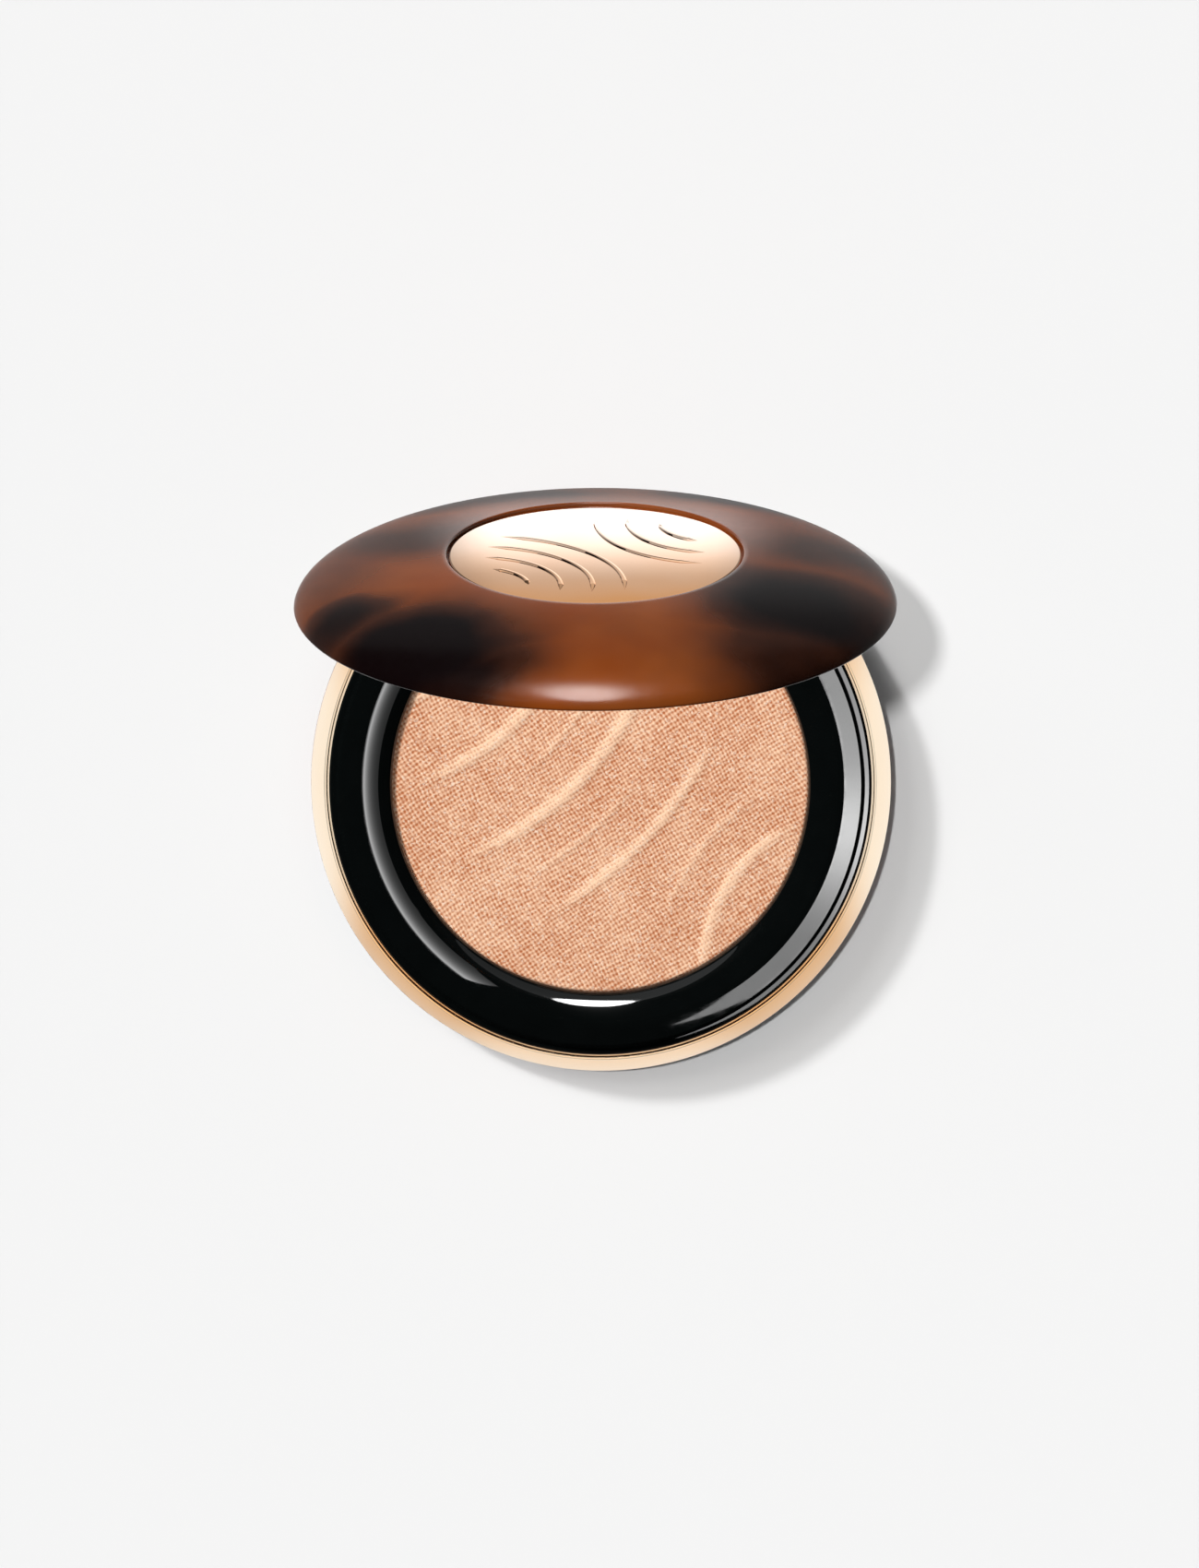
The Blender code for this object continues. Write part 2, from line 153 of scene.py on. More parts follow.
def slope_chain(start, slope, direction):
    """Points of arcs that fall away from start, outwards (1) or inwards (-1), crease to crease.

    Each arc is its width, the tilts in degrees at its two ends, and its steps.
    """
    r, z = start
    points = []
    for width, start_deg, end_deg, count in slope:
        tilt, end = math.radians(start_deg), math.radians(end_deg)
        bend = width / (math.sin(end) - math.sin(tilt))
        for i in range(1, count + 1):
            a = tilt + (end - tilt) * i / count
            across = bend * (math.sin(a) - math.sin(tilt))
            points.append((r + direction * across, z - bend * (math.cos(tilt) - math.cos(a))))
        r, z = points[-1]
    return points


def rod_mesh(name, radius, x_low, x_high, edge=0.00012, bore=0.0):
    """A bar along X on the hinge line, with rounded rims and, if asked, a bore."""
    rim = arc((radius - edge, x_high - edge), edge, edge, 0, 90, 4)
    foot = arc((radius - edge, x_low + edge), edge, edge, -90, 0, 4)
    if bore:
        mesh = revolve_mesh(name, foot + rim + [(bore, x_high), (bore, x_low)], True, SMALL_STEPS)
    else:
        mesh = revolve_mesh(name, [(0.0, x_low)] + foot + rim + [(0.0, x_high)], False, SMALL_STEPS)
    mesh.transform(Matrix.Translation((0.0, HINGE.y, HINGE.z)) @ Matrix.Rotation(math.radians(90), 4, "Y"))
    return mesh


def block_mesh(name, low, high):
    bm = bmesh.new()
    bmesh.ops.create_cube(bm, size=1.0)
    bmesh.ops.scale(bm, vec=[b - a for a, b in zip(low, high)], verts=bm.verts)
    bmesh.ops.translate(bm, vec=[(a + b) / 2 for a, b in zip(low, high)], verts=bm.verts)
    return finish_mesh(bm, name)


def carve(mesh, tools, sharp=35.0):
    """Cut from or join to a mesh, exactly, in turn. tools are (mesh, operation) pairs."""
    target = add_object("carve_target", mesh)
    helpers = []
    for tool, operation in tools:
        helper = add_object("carve_tool", tool)
        modifier = target.modifiers.new("carve", "BOOLEAN")
        modifier.operation = operation
        modifier.object = helper
        helpers.append(helper)
    bpy.context.view_layer.update()
    shown = target.evaluated_get(bpy.context.evaluated_depsgraph_get())
    result = bpy.data.meshes.new_from_object(shown)
    result.name = mesh.name
    for obj in [target] + helpers:
        bpy.data.objects.remove(obj, do_unlink=True)
    return smooth_mesh(result, sharp)


def place(name, mesh, material, body, nodes=(), on_lid=False):
    """Put a finished piece in the scene, on its body, in place of its CAD nodes.

    Lid pieces are drawn closed, and their points are turned to where the lid rests.
    """
    if on_lid:
        mesh.transform(OPEN)
    piece = add_object(name, mesh)
    mesh.materials.clear()
    mesh.materials.append(material)
    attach(piece, body)
    if nodes:
        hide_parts(*nodes)
    CASTERS[body].objects.link(piece)
    return piece


# ---------------------------------------------------------------- material helpers

class Graph:
    """Short calls for building one Principled material.

    place is the point on the object. For a lid piece it is where that point is with the lid shut.
    """

    def __init__(self, name, on_lid=False):
        self.material = bpy.data.materials.new(name)
        self.material.use_nodes = True
        self.tree = self.material.node_tree
        self.shader = self.tree.nodes["Principled BSDF"]
        self.place = self.node("ShaderNodeTexCoord").outputs["Object"]
        if on_lid:
            turn = self.node("ShaderNodeVectorRotate", {"rotation_type": "AXIS_ANGLE"}, Vector=self.place,
                             Center=HINGE, Axis=hinge_joint["axis"], Angle=-OPEN_ANGLE)
            self.place = turn.outputs["Vector"]

    def node(self, kind, settings=None, **inputs):
        made = self.tree.nodes.new(kind)
        for key, value in (settings or {}).items():
            setattr(made, key, value)
        for key, value in inputs.items():
            self.feed(made.inputs[key.replace("_", " ")], value)
        return made

    def feed(self, socket, value):
        if isinstance(value, bpy.types.NodeSocket):
            self.tree.links.new(value, socket)
        else:
            socket.default_value = value

    def set(self, **values):
        for key, value in values.items():
            self.feed(self.shader.inputs[key.replace("_", " ")], value)

    def math(self, operation, *values, clamp=False):
        made = self.tree.nodes.new("ShaderNodeMath")
        made.operation = operation
        made.use_clamp = clamp
        for socket, value in zip(made.inputs, values):
            self.feed(socket, value)
        return made.outputs[0]

    def remap(self, value, low, high, new_low=0.0, new_high=1.0, smooth=True):
        made = self.tree.nodes.new("ShaderNodeMapRange")
        made.interpolation_type = "SMOOTHSTEP" if smooth else "LINEAR"
        for socket, item in zip(made.inputs, (value, low, high, new_low, new_high)):
            self.feed(socket, item)
        return made.outputs[0]

    def noise(self, scale, detail=2.0, roughness=0.5, vector=None, distortion=0.0):
        made = self.node("ShaderNodeTexNoise", Scale=scale, Detail=detail, Roughness=roughness,
                         Distortion=distortion)
        self.feed(made.inputs["Vector"], vector or self.place)
        return made.outputs["Fac"]

    def mix(self, factor, first, second, blend="MIX"):
        made = self.tree.nodes.new("ShaderNodeMix")
        made.data_type = "RGBA"
        made.blend_type = blend
        self.feed(made.inputs[0], factor)
        for socket, value in zip((made.inputs[6], made.inputs[7]), (first, second)):
            if isinstance(value, bpy.types.NodeSocket):
                self.feed(socket, value)
            else:
                socket.default_value = (*value, 1.0)
        return made.outputs[2]

    def vector(self, operation, first, second):
        made = self.tree.nodes.new("ShaderNodeVectorMath")
        made.operation = operation
        for socket, value in zip(made.inputs, (first, second)):
            self.feed(socket, value)
        return made.outputs["Value" if operation in ("LENGTH", "DISTANCE") else "Vector"]

    def bump(self, height, strength, distance):
        made = self.node("ShaderNodeBump", Strength=strength, Distance=distance, Height=height)
        self.feed(self.shader.inputs["Normal"], made.outputs["Normal"])


def tortoise_material(name, clouds, on_lid=False):
    """Warm brown plastic with soft dark clouds, each with its place, half sizes and weight."""
    g = Graph(name, on_lid)
    warp = g.node("ShaderNodeTexNoise", Scale=55.0, Detail=2.0, Roughness=0.5)
    g.feed(warp.inputs["Vector"], g.place)
    shift = g.vector("MULTIPLY", g.vector("SUBTRACT", warp.outputs["Color"], (0.5, 0.5, 0.5)),
                     (0.009, 0.009, 0.0))
    bent = g.vector("ADD", g.place, shift)
    dark = 0.0
    for x, y, wide, deep, weight in clouds:
        offset = g.vector("SUBTRACT", bent, (x, y, 0.0))
        squeezed = g.vector("MULTIPLY", offset, (1.0 / wide, 1.0 / deep, 0.0))
        reach = g.remap(g.vector("LENGTH", squeezed, (0.0, 0.0, 0.0)), 1.55, 0.20, 0.0, weight)
        dark = g.math("MAXIMUM", dark, reach)
    drift = g.remap(g.noise(42.0, 3.0, 0.55, bent), 0.35, 0.75, -0.03, 0.20)
    dark = g.math("ADD", dark, drift, clamp=True)
    glow = g.mix(g.remap(g.noise(60.0, 2.0), 0.35, 0.7), (0.205, 0.041, 0.004), (0.250, 0.060, 0.010))
    deep = g.mix(g.remap(dark, 0.0, 0.6, smooth=False), glow, (0.060, 0.017, 0.007))
    g.set(Base_Color=g.mix(g.remap(dark, 0.35, 1.0), deep, (0.0035, 0.0016, 0.0018)))
    g.set(Roughness=g.remap(g.noise(900.0, 3.0), 0.3, 0.7, 0.19, 0.23))
    g.shader.inputs["IOR"].default_value = 1.5
    g.bump(g.noise(2600.0, 2.0), 0.02, 0.00001)
    return g.material


def band_material():
    """Metallised plastic, gold with a painted highlight: paler at the sides and the front than at the
    quarters between.
    """
    g = Graph("band_gilt")
    split = g.node("ShaderNodeSeparateXYZ", Vector=g.vector("NORMALIZE", g.place, (0.0, 0.0, 0.0)))
    # side and front mask the painted highlight, pale where the sides and the front catch the light; deep
    # weights the band's deeper gold between them
    side = g.remap(g.math("ABSOLUTE", split.outputs["X"]), 0.96, 0.80)
    front = g.remap(g.math("MULTIPLY", split.outputs["Y"], -1.0), 0.80, 0.97, 1.0, 0.4)
    deep = g.math("MULTIPLY", side, front)
    g.set(Base_Color=g.mix(deep, (0.97, 0.80, 0.60), (0.95, 0.56, 0.27)))
    g.set(Roughness=g.remap(g.noise(420.0, 3.0), 0.3, 0.7, 0.10, 0.15))
    g.shader.inputs["Metallic"].default_value = 1.0
    g.bump(g.noise(160.0, 2.0), 0.03, 0.0002)
    return g.material


def medallion_material():
    """Polished rose-gold sheet with a painted reflection: pale at the hinge side, deep rose gold at the
    free edge.
    """
    g = Graph("medallion_gilt", on_lid=True)
    split = g.node("ShaderNodeSeparateXYZ", Vector=g.place)
    # fade runs from the painted pale reflection at the hinge side (0) to the deep rose gold at the free
    # edge (1)
    fade = g.remap(split.outputs["Y"], 0.016, -0.018, smooth=False)
    fade = g.math("ADD", fade, g.remap(g.noise(60.0, 2.0), 0.3, 0.7, -0.05, 0.05), clamp=True)
    g.set(Base_Color=g.mix(fade, (0.98, 0.86, 0.76), (0.93, 0.42, 0.13)))
    g.set(Roughness=g.remap(g.noise(420.0, 3.0), 0.3, 0.7, 0.05, 0.08))
    g.shader.inputs["Metallic"].default_value = 1.0
    g.bump(g.noise(160.0, 2.0), 0.02, 0.0002)
    return g.material


def black_gloss_material():
    g = Graph("piano_black")
    g.set(Base_Color=g.mix(g.noise(300.0, 2.0), (0.0016, 0.0022, 0.0022), (0.0026, 0.0034, 0.0034)))
    g.set(Roughness=g.remap(g.noise(500.0, 3.0), 0.3, 0.7, 0.015, 0.035))
    g.shader.inputs["IOR"].default_value = 1.52
    return g.material


def powder_material():
    """Pressed pearl powder with a cloth imprint, paler where the ripples rise."""
    g = Graph("pearl_powder")
    relief = g.node("ShaderNodeAttribute", {"attribute_name": "relief"}).outputs["Fac"]
    warp = g.node("ShaderNodeTexNoise", Scale=90.0, Detail=2.0)
    g.feed(warp.inputs["Vector"], g.place)
    shift = g.vector("MULTIPLY", g.vector("SUBTRACT", warp.outputs["Color"], (0.5, 0.5, 0.5)),
                     (0.0018, 0.0018, 0.0))
    turned = g.node("ShaderNodeVectorRotate", {"rotation_type": "Z_AXIS"}, Angle=math.radians(17))
    g.feed(turned.inputs["Vector"], g.vector("ADD", g.place, shift))
    split = g.node("ShaderNodeSeparateXYZ", Vector=turned.outputs["Vector"])
    pitch = math.tau / 0.00078
    slant = g.math("ADD", split.outputs["X"], g.math("MULTIPLY", split.outputs["Y"], 0.12))
    across = g.math("SINE", g.math("MULTIPLY", slant, pitch))
    along = g.math("SINE", g.math("MULTIPLY", split.outputs["Y"], pitch))
    weave = g.math("MULTIPLY", across, along)
    grain = g.math("SUBTRACT", g.noise(2100.0, 3.0, 0.7), 0.5)
    knots = g.math("MULTIPLY_ADD", weave, 0.48, g.math("MULTIPLY_ADD", grain, 1.9, 0.5), clamp=True)
    # The raised ripples are coloured paler than the rest of the cake
    ridge_paling = g.remap(relief, 0.10, 0.85)
    cloud = g.remap(g.noise(150.0, 3.0), 0.3, 0.7, -0.10, 0.10)
    tone = g.math("ADD", knots, g.math("MULTIPLY_ADD", ridge_paling, 0.46, cloud), clamp=True)
    base = g.mix(tone, (0.48, 0.145, 0.052), (1.0, 0.655, 0.435))
    flakes = g.node("ShaderNodeTexVoronoi", Scale=5200.0, Randomness=1.0)
    g.feed(flakes.inputs["Vector"], g.place)
    flake = g.node("ShaderNodeSeparateColor", Color=flakes.outputs["Color"])
    spark = g.remap(flake.outputs[0], 0.88, 0.97)
    g.set(Base_Color=g.mix(g.math("MULTIPLY", spark, 0.5), base, (1.0, 0.86, 0.72)))
    g.set(Roughness=g.math("MULTIPLY_ADD", spark, -0.30, 0.72))
    g.shader.inputs["Sheen Weight"].default_value = 0.10
    g.bump(knots, 0.5, 0.00008)
    return g.material


def mirror_material():
    g = Graph("mirror_glass")
    g.set(Base_Color=g.mix(g.noise(40.0), (0.90, 0.915, 0.92), (0.92, 0.93, 0.935)))
    g.set(Roughness=g.remap(g.noise(200.0), 0.3, 0.7, 0.004, 0.012))
    g.shader.inputs["Metallic"].default_value = 1.0
    return g.material


def plain_material(name, color, roughness, metallic=0.0, grain=900.0):
    """Hidden and small parts: a fine mottle in colour, gloss and surface."""
    g = Graph(name)
    mottle = g.noise(grain, 3.0)
    g.set(Base_Color=g.mix(mottle, tuple(c * 0.9 for c in color), color))
    g.set(Roughness=g.remap(mottle, 0.3, 0.7, roughness * 0.85, min(1.0, roughness * 1.15)))
    g.shader.inputs["Metallic"].default_value = metallic
    g.bump(mottle, 0.1, 0.00002)
    return g.material


# ---------------------------------------------------------------- base

def build_base_shell(material):
    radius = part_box("base_shell")[1].x
    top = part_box("base_band")[0].z + 0.0007
    foot, floor, wall = 0.0310, 0.0021, 0.00165
    outer = arc((foot, top), radius - foot, top, -88, 0, 44)
    lip = arc((radius - 0.0002, top), 0.0002, 0.00012, 0, 90, 4)[1:]
    inner = arc((foot, top), radius - wall - foot, top - floor, 0, -80, 14)
    foot_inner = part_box("base_label")[1].x + 0.0003
    recess = 0.00055
    edge = 0.00015
    start = [(0.0, recess), (foot_inner, recess), (foot_inner, edge), (foot_inner + edge, 0.0)]
    profile = start + outer + lip + inner + [(0.0, floor)]
    mesh = revolve_mesh("base_bowl", profile, closed=False)
    place("base_bowl", mesh, material, "base", ["base_shell"])


def build_band(material):
    low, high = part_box("base_band")
    inner_r, top, skirt_z = 0.03775, high.z, low.z
    shoulder = (0.03816, top - 0.00017)
    radius = high.x
    foot_z = 0.0050
    outer = []
    control = Vector((0.03925, 0.0082))
    start, end = Vector(shoulder), Vector((radius, foot_z + 0.0004))
    for i in range(25):
        t = i / 24
        point = start * (1 - t) ** 2 + control * 2 * t * (1 - t) + end * t ** 2
        outer.append(tuple(point))
    crown = arc((inner_r + 0.0002, top - 0.00016), 0.0002, 0.00016, 180, 90, 5)
    crown += arc((shoulder[0] - 0.00016, shoulder[1]), 0.00016, 0.00017, 85, 10, 5)
    foot = arc((radius - 0.00025, foot_z + 0.00028), 0.00025, 0.00028, 0, -90, 5)[1:]
    inside = [(0.0380, foot_z), (0.0380, skirt_z), (0.0369, skirt_z), (0.0369, 0.0083), (inner_r, 0.0083)]
    mesh = revolve_mesh("gold_band", crown + outer + foot + inside)
    mesh = carve(mesh, [(rod_mesh("notch", 0.0028, -KNUCKLE_HALF, KNUCKLE_HALF), "DIFFERENCE")])
    place("gold_band", mesh, material, "base", ["base_band"])


# Creases of the ring start at 5 degrees, and its arcs turn less than this between two points
RING_SHARP_DEG = 3.5


def build_ring(material):
    """The gloss ring: a level crest between facets, with its two hinge knuckles."""
    crest = [(0.0329, PARTING + 0.0015), (0.03363, PARTING + 0.0015)]
    inner = slope_chain(crest[0], ((0.00228, 12.0, 16.0, 12), (0.0014, 20.0, 30.0, 12),
                                   (0.0005, 32.0, 75.0, 12)), -1)
    outer = slope_chain(crest[1], ((0.00233, 5.2, 5.8, 6), (0.00051, 40.0, 44.0, 3)), 1)
    ledge = [(0.03652, PARTING + 0.00012)]
    ledge += slope_chain(ledge[0], ((0.00055, 5.2, 5.8, 4), (0.00038, 20.0, 80.0, 8)), 1)
    outer_r = ledge[-1][0]
    under = [
        (outer_r, 0.0086), (0.0353, 0.0086), (0.0353, PARTING - 0.0001), (crest[1][0], PARTING + 0.0003),
        (0.0312, PARTING), (0.0309, PARTING - 0.0006), (0.0309, 0.00575), (0.0298, 0.00575),
        (0.0298, inner[-1][1]),
    ]
    ring = revolve_mesh("gloss_ring", inner[::-1] + crest + outer + ledge + under, sharp=RING_SHARP_DEG)
    back_y, wall_half = 0.0357, 0.0110
    tools = [
        (block_mesh("back", (-KNUCKLE_HALF, back_y, 0.0084), (KNUCKLE_HALF, 0.042, 0.014)),
         "DIFFERENCE"),
        (block_mesh("wall", (-wall_half, 0.0344, 0.0086), (wall_half, back_y, PARTING)), "UNION"),
    ]
    for side in (-1, 1):
        low, high = sorted((side * 0.0089, side * 0.0131))
        web = block_mesh("web", (low, 0.0349, 0.0093), (high, HINGE.y, PARTING - 0.0002))
        tools.append((web, "UNION"))
        tools.append((rod_mesh("barrel", BARREL_R, low, high), "UNION"))
    tools.append((rod_mesh("bore", BORE_R, -BORE_HALF, BORE_HALF), "DIFFERENCE"))
    place("gloss_ring", carve(ring, tools, RING_SHARP_DEG), material, "base", ["bezel"])


# Ripples: centre, then each ring's radius, first and last angle, half width, height weight
POWDER_RIPPLES = (
    ((-0.034, 0.030), (
        (0.020, -80, -2, 0.00080, 0.8), (0.031, -78, -8, 0.00090, 1.0),
        (0.037, -52, -24, 0.00060, 0.5), (0.043, -74, -12, 0.00095, 1.0),
        (0.049, -62, -36, 0.00060, 0.5), (0.055, -64, -22, 0.00085, 0.9),
    )),
    ((0.037, -0.026), (
        (0.016, 112, 196, 0.00075, 0.7), (0.023, 108, 192, 0.00085, 0.9),
        (0.029, 118, 168, 0.00060, 0.5),
    )),
)


def ripple_relief(x, y):
    """Height weight from 0 to 1 of the soft raised ripples at a point of the powder."""
    relief = np.zeros_like(x)
    for (cx, cy), rings in POWDER_RIPPLES:
        angle = np.degrees(np.arctan2(y - cy, x - cx))
        away = np.hypot(x - cx, y - cy)
        for radius, first, last, half, weight in rings:
            middle, span = (first + last) / 2.0, (last - first) / 2.0
            turn = np.abs((angle - middle + 180.0) % 360.0 - 180.0)
            fade = np.clip((span - turn) / (span * 0.6), 0.0, 1.0)
            fade = fade * fade * (3.0 - 2.0 * fade)
            offset = (away - radius) / half
            steep = np.where(offset > 0, 1.5, 0.55)
            relief = np.maximum(relief, np.exp(-(offset ** 2) * steep) * fade * weight)
    return relief


def build_powder(material):
    low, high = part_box("pressed_powder")
    radius, top = high.x, high.z
    rings, steps = 150, 480
    edge, ridge = 0.0005, 0.00016
    base_top = top - ridge
    points, faces = [(0.0, 0.0, 0.0)], []
    radii = [radius * i / rings for i in range(1, rings + 1)]
    for r in radii:
        for k in range(steps):
            a = math.tau * k / steps
            points.append((r * math.cos(a), r * math.sin(a), 0.0))
    co = np.array(points)
    relief = ripple_relief(co[:, 0], co[:, 1])
    r = np.hypot(co[:, 0], co[:, 1])
    fall = np.clip((r - (radius - edge)) / edge, 0.0, 1.0)
    co[:, 2] = base_top + relief * ridge - edge * (1.0 - np.sqrt(np.maximum(0.0, 1.0 - fall ** 2)))
    for k in range(steps):
        faces.append((0, 1 + k, 1 + (k + 1) % steps))
    for i in range(rings - 1):
        first, second = 1 + i * steps, 1 + (i + 1) * steps
        for k in range(steps):
            n = (k + 1) % steps
            faces.append((first + k, second + k, second + n, first + n))
    rim = 1 + (rings - 1) * steps
    count = len(co)
    under = co[rim:rim + steps].copy()
    under[:, 2] = low.z
    co = np.vstack([co, under])
    for k in range(steps):
        n = (k + 1) % steps
        faces.append((rim + k, count + k, count + n, rim + n))
    faces.append(tuple(count + k for k in reversed(range(steps))))
    mesh = bpy.data.meshes.new("powder_cake")
    mesh.from_pydata(co.tolist(), [], faces)
    smooth_mesh(mesh, 50.0)
    layer = mesh.attributes.new("relief", "FLOAT", "POINT")
    layer.data.foreach_set("value", np.concatenate([relief, np.zeros(steps)]).astype(np.float32))
    place("powder_cake", mesh, material, "base", ["pressed_powder"])


def build_label(material):
    low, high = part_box("base_label")
    edge = 0.00008
    rim = arc((high.x - edge, low.z + edge), edge, edge, -90, 0, 3)
    rim += arc((high.x - edge, high.z - edge), edge, edge, 0, 90, 3)
    mesh = revolve_mesh("blank_label", [(0.0, low.z)] + rim + [(0.0, high.z)], closed=False)
    place("blank_label", mesh, material, "base", ["base_label"])


def build_hinge_parts(steel, nylon):
    low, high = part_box("hinge_pin")
    place("pin_rod", rod_mesh("pin_rod", high.z - PARTING, low.x, high.x), steel, "base",
          ["hinge_pin"])
    for word in ("left", "right"):
        low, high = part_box(f"hinge_washer_{word}")
        mesh = rod_mesh(f"washer_{word}", high.z - PARTING, low.x, high.x, 0.00005, BORE_R)
        place(f"washer_{word}", mesh, nylon, "base", [f"hinge_washer_{word}"])


# ---------------------------------------------------------------- lid

def build_lid_dome(material):
    low, high = closed_box("lid_shell")
    radius, rim_z, dome = high.x, low.z, 0.00855
    seat = closed_box("lid_medallion")
    recess_r = seat[1].x + 0.0003
    recess_z = seat[0].z - 0.00035
    edge = 0.00022
    start = math.degrees(math.acos((recess_r + edge) / radius))
    outer = arc((0.0, rim_z), radius, dome, start, 4, 70)
    seat_top = outer[0][1]
    mouth = arc((recess_r + edge, seat_top - edge), edge, edge, 180, 100, 5)
    rim = arc((radius - 0.00035, rim_z + 0.00035), 0.00033, 0.00035, 10, -90, 8)
    inner_r, inner_dome, ceiling = 0.0386, 0.0072, PARTING + 0.0049
    hollow = []
    for i in range(13):
        r = 0.0381 - (0.0381 - 0.0290) * (i / 12) ** 1.3
        z = rim_z + inner_dome * math.sqrt(1.0 - (r / inner_r) ** 2)
        hollow.append((r, min(z, ceiling)))
    profile = [(0.0, recess_z), (recess_r, recess_z)] + mouth + outer[1:] + rim + [(0.0383, rim_z)]
    profile += hollow + [(0.0, ceiling)]
    shell = revolve_mesh("lid_dome", profile, closed=False)
    tools = [
        (rod_mesh("groove", GROOVE_R, -KNUCKLE_HALF, KNUCKLE_HALF), "DIFFERENCE"),
        (block_mesh("notch", (-KNUCKLE_HALF, HINGE.y, PARTING - 0.002),
                    (KNUCKLE_HALF, 0.043, PARTING + 0.00205)), "DIFFERENCE"),
    ]
    place("lid_dome", carve(shell, tools), material, "lid", ["lid_shell"], on_lid=True)


def build_liner(material):
    p = PARTING
    back = closed_box("mirror_tape")[1].z + 0.0001
    wall_in = closed_box("lid_mirror")[1].x + 0.0003
    face, top = p + 0.0019, back + 0.0007
    corner = 0.00015
    profile = [
        (0.0, back), (wall_in, back), (wall_in, face + corner), (wall_in + corner, face), (0.0353, face),
    ]
    profile += arc((0.0353, face - 0.0012), 0.0014, 0.0012, 90, 20, 8)[1:]
    profile += [(0.0369, p + 0.0011)]
    profile += arc((0.0370, p + 0.00055), 0.0001, 0.0001, 180, 270, 3)
    profile += arc((0.0378, p + 0.00055), 0.0001, 0.0001, 270, 360, 3)
    profile += [
        (0.0379, p + 0.0011), (0.0369, p + 0.0018), (0.0357, face + 0.0004), (0.0312, face + 0.0004),
        (0.0312, top - 0.0004), (0.0308, top), (0.0, top),
    ]
    frame_mesh = revolve_mesh("lid_frame", profile, closed=False)
    half = 0.0080
    tools = []
    for side in (-1, 1):
        low, high = sorted((side * half, side * KNUCKLE_HALF))
        tools.append((rod_mesh("groove", GROOVE_R, low, high), "DIFFERENCE"))
    tools.append((block_mesh("web", (-half, 0.0361, p + 0.0009), (half, HINGE.y, p + 0.00165)), "UNION"))
    tools.append((rod_mesh("barrel", BARREL_R, -half, half), "UNION"))
    tools.append((rod_mesh("bore", BORE_R, -BORE_HALF, BORE_HALF), "DIFFERENCE"))
    place("lid_frame", carve(frame_mesh, tools), material, "lid", ["lid_liner"],
          on_lid=True)


def build_mirror(material):
    low, high = closed_box("lid_mirror")
    bevel = 0.0006
    profile = [
        (0.0, low.z), (high.x - bevel, low.z), (high.x - 0.00006, low.z + 0.00022),
        (high.x, low.z + 0.00028), (high.x, high.z), (0.0, high.z),
    ]
    mesh = revolve_mesh("mirror_disc", profile, closed=False, sharp=5.0)
    place("mirror_disc", mesh, material, "lid", ["lid_mirror"], on_lid=True)


# Ripples of the medallion: centre and radii
MEDALLION_RIPPLES = (
    ((-0.0155, -0.0125), (0.0070, 0.0112, 0.0154, 0.0196)),
    ((0.0165, 0.0130), (0.0082, 0.0124, 0.0166)),
)
MEDALLION_ART_R = 0.0146


def ripple_lines():
    """Centre lines of the medallion's arcs: what lies of each circle inside the decorated disc."""
    lines = []
    for (cx, cy), radii in MEDALLION_RIPPLES:
        facing = math.atan2(-cy, -cx)
        for radius in radii:
            line = []
            for i in range(-180, 181):
                a = facing + math.radians(i * 0.5)
                x, y = cx + radius * math.cos(a), cy + radius * math.sin(a)
                if math.hypot(x, y) < MEDALLION_ART_R:
                    line.append((x, y))
            lines.append(line)
    return lines


def ridge_along(bm, line, width, height, base_z):
    """A rounded bead of metal that follows a line and tapers at both ends."""
    section = [(-0.5, 0.0), (-0.36, 0.8), (-0.2, 1.0), (0.2, 1.0), (0.36, 0.8), (0.5, 0.0)]
    sunk = 0.00004
    rows = []
    for i, (x, y) in enumerate(line):
        before, after = line[max(i - 1, 0)], line[min(i + 1, len(line) - 1)]
        along = Vector((after[0] - before[0], after[1] - before[1], 0.0)).normalized()
        side = Vector((-along.y, along.x, 0.0))
        taper = min(1.0, 0.05 + 0.05 * min(i, len(line) - 1 - i))
        row = []
        for across, up in section:
            point = Vector((x, y, base_z + height * up * taper)) + side * across * width * taper
            row.append(bm.verts.new(point))
        for across in (0.5, -0.5):
            point = Vector((x, y, base_z - sunk)) + side * across * width * taper
            row.append(bm.verts.new(point))
        rows.append(row)
    size = len(rows[0])
    for one, two in zip(rows, rows[1:]):
        for k in range(size):
            n = (k + 1) % size
            bm.faces.new((one[k], one[n], two[n], two[k]))
    bm.faces.new(rows[0][::-1])
    bm.faces.new(rows[-1])


def build_medallion(material):
    low, high = closed_box("lid_medallion")
    radius, top = high.x, high.z
    relief = 0.00020
    face = top - relief
    chamfer = 0.00028
    rim = arc((radius - chamfer, face - chamfer), chamfer, chamfer, 0, 90, 8)
    plate = revolve_mesh("medallion_plate", [(0.0, low.z), (radius, low.z)] + rim + [(0.0, face)],
                         closed=False, sharp=60.0)
    place("medallion_plate", plate, material, "lid", ["lid_medallion"], on_lid=True)
    for index, line in enumerate(ripple_lines()):
        bm = bmesh.new()
        ridge_along(bm, line, 0.00075, relief, face)
        name = f"medallion_arc_{index + 1}"
        place(name, finish_mesh(bm, name, 25.0), material, "lid", on_lid=True)


# ---------------------------------------------------------------- stage

FLOOR_HALF = 6.0
FLOOR_DROP = 0.00002
FLOOR_ALBEDO = 0.500


